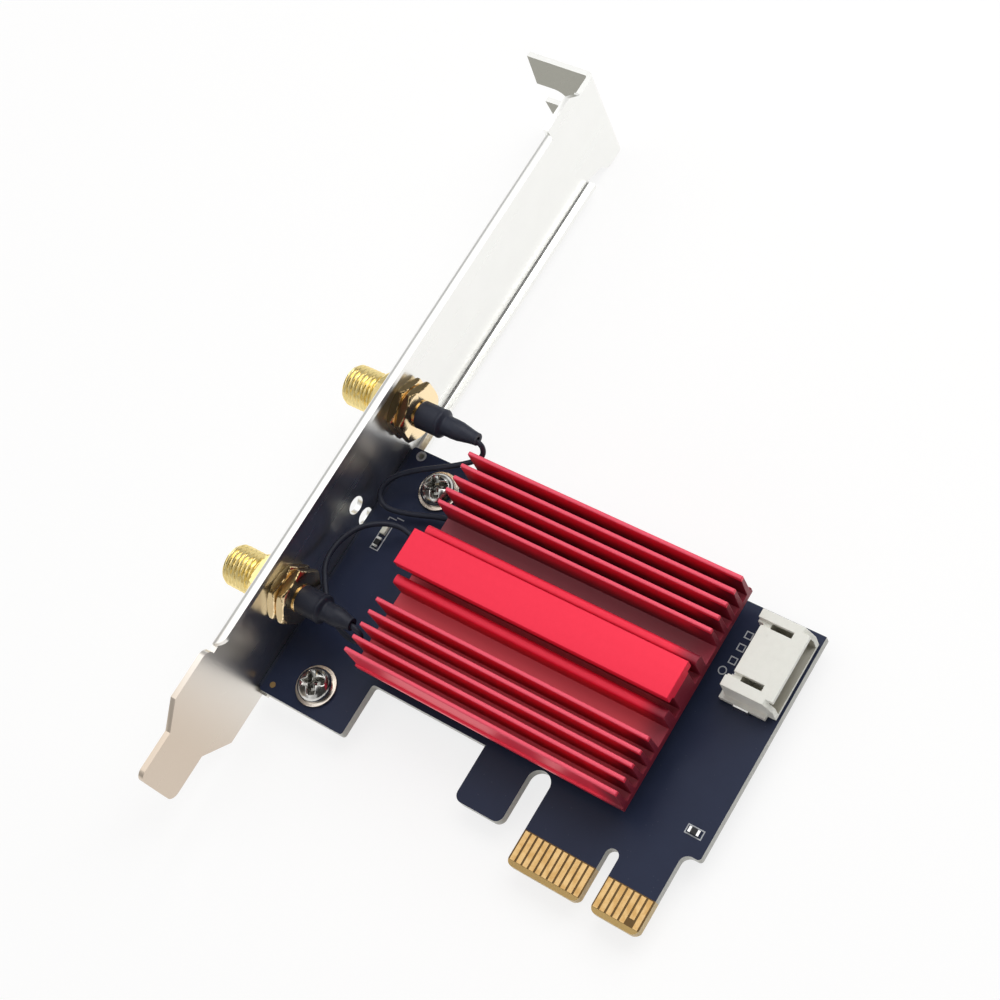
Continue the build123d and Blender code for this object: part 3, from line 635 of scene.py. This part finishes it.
def makeBoot(side):
    y, z, end = port["y"][side], port["z"], boot["ends"][side]
    s = np.linspace(boot["start"], end, 90)
    angle = np.linspace(0, 2 * np.pi, boot["columns"], endpoint=False)
    r = sleeveRadius(s, end)[:, None] * np.ones(boot["columns"])
    # creases of the shrunk sleeve: low waves round it, stronger on the taper
    wave = 0.012 * np.sin(3 * angle + 2.1 * s[:, None]) + 0.010 * np.sin(5 * angle - 3.3 * s[:, None])
    r = r * (1 - np.abs(wave) * np.clip((s[:, None] - 6.0) / 3.0, 0.15, 1))
    x = port["inner"] + s
    skin = np.stack([x[:, None] + 0 * r, y + r * np.cos(angle), z + r * np.sin(angle)], -1)
    hole = lead["diameter"] / 2 + 0.02
    capStart = turned([(x[0], boot["ferruleR"])], y, z, boot["columns"])
    capEnd = turned([(x[-1], hole)], y, z, boot["columns"])
    seat = x[0] + boot["seat"]
    inside = turned([(seat, hole), (seat, boot["ferruleR"]), (x[0], boot["ferruleR"])], y, z, boot["columns"])
    points = np.concatenate([capStart, skin, capEnd, inside])
    addPiece(side + "_boot_sleeve", points, gridFaces(len(points), boot["columns"]),
             "bootBlack", "boot_black", (side + "_boot",), sharp=60)


for side in ("upper", "lower"):
    makePort(side)
    makeBoot(side)
print("ports and boots turned")

# heatsink: one profile, carried along X
sink = {"left": -43.75, "right": 0.05, "mid": 30.08, "half": 16.8, "baseLow": 4.15, "floor": 5.35, "finTop": 10.35, "fins": 5,
        "finLast": 16.05, "pitch": 2.0, "rootHalf": 0.42, "tipHalf": 0.3, "ribInner": 3.3, "ribOuter": 4.8, "ribTop": 9.0,
        "webHalf": 1.9, "plateHalf": 2.78, "plateLow": 10.1, "plateTop": 11.75, "tipRound": 0.22, "rootRound": 0.12,
        "plateRound": 0.16, "ribRound": 0.6, "lipRound": 0.1, "baseRound": 0.12, "endEase": 0.06}


def sinkCorners():
    # corners from the base's lower middle round one side to the plate's top middle: (offset, height, round)
    k = sink
    root = k["rootRound"]
    corners = [(k["half"], k["baseLow"], k["baseRound"]), (k["half"], k["floor"], k["baseRound"])]
    for i in range(k["fins"]):
        c = k["finLast"] - i * k["pitch"]
        corners += [(c + k["rootHalf"], k["floor"], root), (c + k["tipHalf"], k["finTop"], k["tipRound"]),
                    (c - k["tipHalf"], k["finTop"], k["tipRound"]), (c - k["rootHalf"], k["floor"], root)]
    corners += [(k["ribOuter"], k["floor"], root), (k["ribOuter"], k["ribTop"], k["ribRound"]),
                (k["ribInner"], k["ribTop"], k["ribRound"]), (k["ribInner"], k["floor"], root),
                (k["webHalf"], k["floor"], root), (k["webHalf"], k["plateLow"], root),
                (k["plateHalf"], k["plateLow"], k["lipRound"]), (k["plateHalf"], k["plateTop"], k["plateRound"])]
    return np.array(corners)


def roundCorners(corners, steps):
    # each corner becomes an arc tangent to its two sides: the quadratic blend of the tangent points and the corner
    p, r = corners[:, :2], corners[:, 2]
    before, after = np.roll(p, 1, 0) - p, np.roll(p, -1, 0) - p
    a = before / np.linalg.norm(before, axis=1)[:, None]
    b = after / np.linalg.norm(after, axis=1)[:, None]
    half = np.arccos(np.clip((a * b).sum(1), -1, 1)) / 2
    shortest = np.minimum(np.linalg.norm(before, axis=1), np.linalg.norm(after, axis=1))
    cut = np.minimum(r / np.tan(half), 0.49 * shortest)
    t = np.linspace(0, 1, steps)[None, :, None]
    first, last = (p + a * cut[:, None])[:, None], (p + b * cut[:, None])[:, None]
    return ((1 - t) ** 2 * first + 2 * t * (1 - t) * p[:, None] + t ** 2 * last).reshape(-1, 2)


def makeSink():
    side = sinkCorners()
    other = side[::-1] * np.array([-1, 1, 1])
    profile = roundCorners(np.concatenate([side, other]), 5)
    count = len(profile)
    x = np.array([sink["left"], sink["right"]])
    y, z = np.tile(profile[:, 0] + sink["mid"], 2), np.tile(profile[:, 1], 2)
    points = np.stack([np.repeat(x, count), y, z], -1)
    faces = [tuple(f) for f in gridFaces(2, count)]
    faces += [tuple(range(count)), tuple(range(2 * count - 1, count - 1, -1))]
    piece = addPiece("heatsink_extrusion", points, faces, "redAnodised", "red_anodised", ("heatsink",), sharp=50)
    ease = piece.modifiers.new("sawnEnds", "BEVEL")
    ease.width = sink["endEase"] * mm
    ease.segments = 2
    ease.limit_method = "ANGLE"
    ease.angle_limit = np.radians(60)
    return piece


makeSink()
print("heatsink drawn")

# sheet, board and hard parts keep their solids' shape, with eased edges
eased = [
    ("bracket_sheet", "bracket", 0.10, "bracketSteel", "bracket_steel"),
    ("board_laminate", "circuit_board", 0.06, "boardMask", "board_mask"),
    ("header_shell", "header_housing", 0.10, "headerWhite", "header_white"),
    ("ear_washer_pair", "ear_washers", 0.08, "washerCopper", "screw_steel"),
    ("upper_lock_ring", "upper_port_lock_washer", 0.06, "portGold", "port_gold"),
    ("lower_lock_ring", "lower_port_lock_washer", 0.06, "portGold", "port_gold"),
]
for name, node, width, finish, slotName in eased:
    easedCopy(name, node, width, finish)
print("hard parts eased")

# ear screws: a flattened dome on a shank, with a four-armed recess
screw = {"places": [(-49.9, 8.85), (-50.1, 41.9)], "low": 0.5, "high": 1.9, "r": 2.62, "shank": 1.5, "tip": -3.0,
         "point": 0.4, "turn": 30.0, "armHalf": 0.48, "armLong": 1.9, "deep": 1.15, "middle": 0.45, "columns": 160, "rows": 54}


def headHeight(r, angle):
    # height over the washer: one less a power of the radius, rooted; less the arms, whose walls and ends slope;
    # plus a low cone in the middle
    k = screw
    dome = k["high"] * np.clip(1 - (r / k["r"]) ** 2.6, 0, 1) ** 0.45
    turn = angle - np.radians(k["turn"])
    across = np.minimum(np.abs(r * np.cos(turn)), np.abs(r * np.sin(turn)))
    arm = np.clip((k["armHalf"] + 0.2 - across) / 0.4, 0, 1)
    reach = np.clip((k["armLong"] - r) / 0.9, 0, 1)
    recess = k["deep"] * arm * arm * (3 - 2 * arm) * reach ** 0.7
    return dome - recess + k["middle"] * np.clip(1 - r / 0.6, 0, 1)


def makeScrews():
    k = screw
    angle = np.linspace(0, 2 * np.pi, k["columns"], endpoint=False)
    r = k["r"] * np.linspace(0, 1, k["rows"]) ** 0.8
    radius, around = np.meshgrid(r, angle, indexing="ij")
    height = k["low"] + headHeight(radius, around)
    stations = np.array([(k["r"], k["low"]), (k["shank"], k["low"]), (k["shank"], k["tip"] + k["point"]),
                         (k["shank"] - k["point"], k["tip"]), (0.0, k["tip"])])
    lowR = stations[:, 0, None] + 0 * angle
    lowZ = stations[:, 1, None] + 0 * angle
    radius, height = np.concatenate([radius, lowR]), np.concatenate([height, lowZ])
    points, faces = [], []
    for x, y in k["places"]:
        rings = np.stack([x + radius * np.cos(angle), y + radius * np.sin(angle), height], -1)
        faces += list(gridFaces(len(rings), k["columns"], len(points) * rings.shape[0] * rings.shape[1]))
        points.append(rings)
    addPiece("ear_screw_pair", np.concatenate([ring.reshape(-1, 3) for ring in points]), faces,
             "screwNickel", "screw_steel", ("ear_screws",), sharp=50)


makeScrews()
print("screws turned")

# the nodes that stay get their finish
kept = {
    "edge_contacts_front": "contactGold", "edge_contacts_back": "contactGold", "thermal_pad": "padGrey",
    "module_board": "moduleMask", "module_shield": "shieldTin", "module_jacks": "portGold",
    "module_post": "screwNickel", "module_screw": "screwNickel",
    "socket_housing": "socketBlack", "socket_tails": "shieldTin", "header_pins": "shieldTin", "header_tabs": "shieldTin",
    "chip_bodies": "chipBlack", "chip_ends": "shieldTin", "light_chip": "lightResin",
}
for side in ("upper", "lower"):
    kept.update({side + "_port_insulator": "insulatorWhite", side + "_port_contact": "portGold", side + "_plug": "portGold",
                 side + "_ferrule": "portGold"})
for node, finish in kept.items():
    nodes[node].data.materials.clear()
    nodes[node].data.materials.append(finishes[finish])
print("kept nodes finished:", len(kept))

# marks on the board: thin printed lines, bare copper, and the mask's lip over the gap at the bracket
marks = {
    "thick": 0.02, "copper": 0.035, "line": 0.16, "strokeTrim": 0.15,
    "boxes": [((8.0, 15.9), (2.5, 1.35), 0.0), ((-54.25, 32.3), (1.5, 4.5), 0.0)],
    "strokes": [((-54.2, 35.4), (1.25, 0.16)), ((-54.85, 35.2), (0.16, 0.5)), ((-53.1, 35.78), (1.25, 0.16))],
    "padBoxes": [((1.2, 42.3), 1.1), ((1.1, 40.35), 1.1), ((1.0, 38.3), 1.1)],
    "firstRing": ((0.4, 36.5), 0.62),
    "viaRing": ((-55.9, 45.65), 0.47, 0.80), "dot": ((-56.15, 6.1), 0.45), "lip": ((-57.85, 25.6), (0.5, 40.8)),
}


def flatRing(outer, inner, low, high):
    # a closed band between two outlines of equal count: outer wall, top, inner wall, bottom
    n = len(outer)
    walls = [(outer, low), (outer, high), (inner, high), (inner, low), (outer, low)]
    return np.concatenate([np.c_[outline, np.full(n, z)] for outline, z in walls]), gridFaces(len(walls), n)


def boxOutline(centre, size, turnDeg):
    w, h = size[0] / 2, size[1] / 2
    corners = np.array([(-w, -h), (w, -h), (w, h), (-w, h)])
    c, s = np.cos(np.radians(turnDeg)), np.sin(np.radians(turnDeg))
    return corners @ np.array([(c, s), (-s, c)]) + np.array(centre)


def circleOutline(centre, r, n=40):
    angle = np.linspace(0, 2 * np.pi, n, endpoint=False)
    return np.c_[np.cos(angle), np.sin(angle)] * r + np.array(centre)


def joinRings(rings):
    points, faces, start = [], [], 0
    for p, f in rings:
        points.append(p)
        faces.append(f + start)
        start += len(p)
    return np.concatenate(points), np.concatenate(faces)


def printedBox(centre, size, trim, turnDeg=0.0):
    # a box outline whose inside is smaller by the trim
    inner = (size[0] - trim, size[1] - trim)
    return flatRing(boxOutline(centre, size, turnDeg), boxOutline(centre, inner, turnDeg), 0, marks["thick"])


line = marks["line"]
rings = [printedBox(c, s, 2 * line, t) for c, s, t in marks["boxes"]]
rings += [printedBox(c, (s, s), 2 * line) for c, s in marks["padBoxes"]]
rings += [printedBox(c, s, marks["strokeTrim"]) for c, s in marks["strokes"]]
centre, r = marks["firstRing"]
rings.append(flatRing(circleOutline(centre, r), circleOutline(centre, r - line), 0, marks["thick"]))
addPiece("board_marks", *joinRings(rings), "markWhite", "header_white", sharp=30)
centre, inner, outer = marks["viaRing"]
via = flatRing(circleOutline(centre, outer), circleOutline(centre, inner), 0, marks["copper"])
addPiece("plated_ring", *via, "padGrey", "shield_tin", sharp=30)
centre, size = marks["lip"]
lip = flatRing(boxOutline(centre, size, 0), boxOutline(centre, (0.01, size[1] - 0.5), 0), 0, marks["thick"])
addPiece("mask_lip", *lip, "lipMask", "board_mask", sharp=30)
centre, r = marks["dot"]
dot = flatRing(circleOutline(centre, r), circleOutline(centre, 0.0), 0, marks["copper"])
addPiece("bare_dot", *dot, "contactGold", "contact_gold", sharp=30)
print("marks laid")

# floor, world and lamps
stage = {"floorZ": -4.45, "floorSize": 3.0, "floorTone": (0.86, 0.85, 0.84), "seenTone": (0.24, 0.238, 0.235),
         "floorGlow": 0.79, "mirrorGlow": 0.92, "fill": 0.34, "wallTone": 0.06, "sideTone": 0.65, "roofTone": 1.15,
         "wallTop": 0.30, "roofStart": 0.86, "dimSide": 0.30, "brightSide": -0.15, "lampAim": (-0.025, 0.03, 0.0)}


def makeFloor():
    mesh = bpy.data.meshes.new("floor")
    h = stage["floorSize"] / 2
    z = stage["floorZ"] * mm
    mesh.from_pydata([(-h, -h, z), (h, -h, z), (h, h, z), (-h, h, z)], [], [(0, 1, 2, 3)])
    floor = bpy.data.objects.new("floor", mesh)
    scene.collection.objects.link(floor)
    finish = bpy.data.materials.new("floorPaper")
    finish.use_nodes = True
    tree = finish.node_tree
    shader = tree.nodes["Principled BSDF"]
    shader.inputs["Roughness"].default_value = 0.9
    shader.inputs["Specular IOR Level"].default_value = 0.0
    # white where it is seen or mirrored, with a soft shadow left in it, and plain paper for the light it throws back
    path = tree.nodes.new("ShaderNodeLightPath")
    mirrored = mathNode(tree, "MAXIMUM", path.outputs["Is Glossy Ray"], path.outputs["Is Transmission Ray"])
    seen = mathNode(tree, "MAXIMUM", path.outputs["Is Camera Ray"], mirrored)
    tree.links.new(mixColour(tree, seen, stage["floorTone"], stage["seenTone"]), shader.inputs["Base Color"])
    glow = mathNode(tree, "MULTIPLY", path.outputs["Is Camera Ray"], stage["floorGlow"])
    glow = mathNode(tree, "MAXIMUM", glow, mathNode(tree, "MULTIPLY", mirrored, stage["mirrorGlow"]))
    shader.inputs["Emission Color"].default_value = (1.0, 1.0, 1.0, 1.0)
    tree.links.new(glow, shader.inputs["Emission Strength"])
    mesh.materials.append(finish)


def makeWorld():
    world = bpy.data.worlds.new("studio")
    scene.world = world
    world.use_nodes = True
    tree = world.node_tree
    tree.nodes.clear()
    # what metal mirrors is a pale wall and white roof on the bracket's side and dim walls elsewhere;
    # an even fill for the rest, white behind the part
    path = tree.nodes.new("ShaderNodeLightPath")
    mirrored = mathNode(tree, "MAXIMUM", path.outputs["Is Glossy Ray"], path.outputs["Is Transmission Ray"])
    coords = tree.nodes.new("ShaderNodeTexCoord")
    axes = splitAxes(tree, coords.outputs["Generated"])
    roof = rampMask(tree, axes["Z"], stage["wallTop"], stage["roofStart"])
    beside = mathNode(tree, "SUBTRACT", spanValue(tree, roof, stage["sideTone"], stage["roofTone"]), stage["wallTone"])
    nearWall = rampMask(tree, axes["X"], stage["dimSide"], stage["brightSide"])
    beside = mathNode(tree, "MULTIPLY", beside, nearWall)
    room = mathNode(tree, "ADD", beside, stage["wallTone"])
    plain = spanValue(tree, path.outputs["Is Camera Ray"], stage["fill"], 1.0)
    strength = mathNode(tree, "MULTIPLY", mirrored, room)
    rest = mathNode(tree, "MULTIPLY", mathNode(tree, "SUBTRACT", 1.0, mirrored), plain)
    glow = tree.nodes.new("ShaderNodeBackground")
    tree.links.new(mathNode(tree, "ADD", strength, rest), glow.inputs["Strength"])
    end = tree.nodes.new("ShaderNodeOutputWorld")
    tree.links.new(glow.outputs[0], end.inputs[0])


lamps = [
    {"name": "keyLamp", "place": (0.08, 0.42, 0.50), "size": 0.55, "power": 2.6},
    {"name": "fillLamp", "place": (-0.30, 0.05, 0.55), "size": 0.6, "power": 0.7},
    {"name": "frontLamp", "place": (0.10, -0.55, 0.22), "size": 0.5, "power": 0.5},
]


def makeLamp(spec):
    data = bpy.data.lights.new(spec["name"], "AREA")
    data.energy = spec["power"]
    data.size = spec["size"]
    lamp = bpy.data.objects.new(spec["name"], data)
    place = Vector(spec["place"])
    aim = (Vector(stage["lampAim"]) - place).to_track_quat("-Z", "Y")
    lamp.matrix_world = Matrix.Translation(place) @ aim.to_matrix().to_4x4()
    scene.collection.objects.link(lamp)


makeFloor()
makeWorld()
for spec in lamps:
    makeLamp(spec)
print("stage lit")
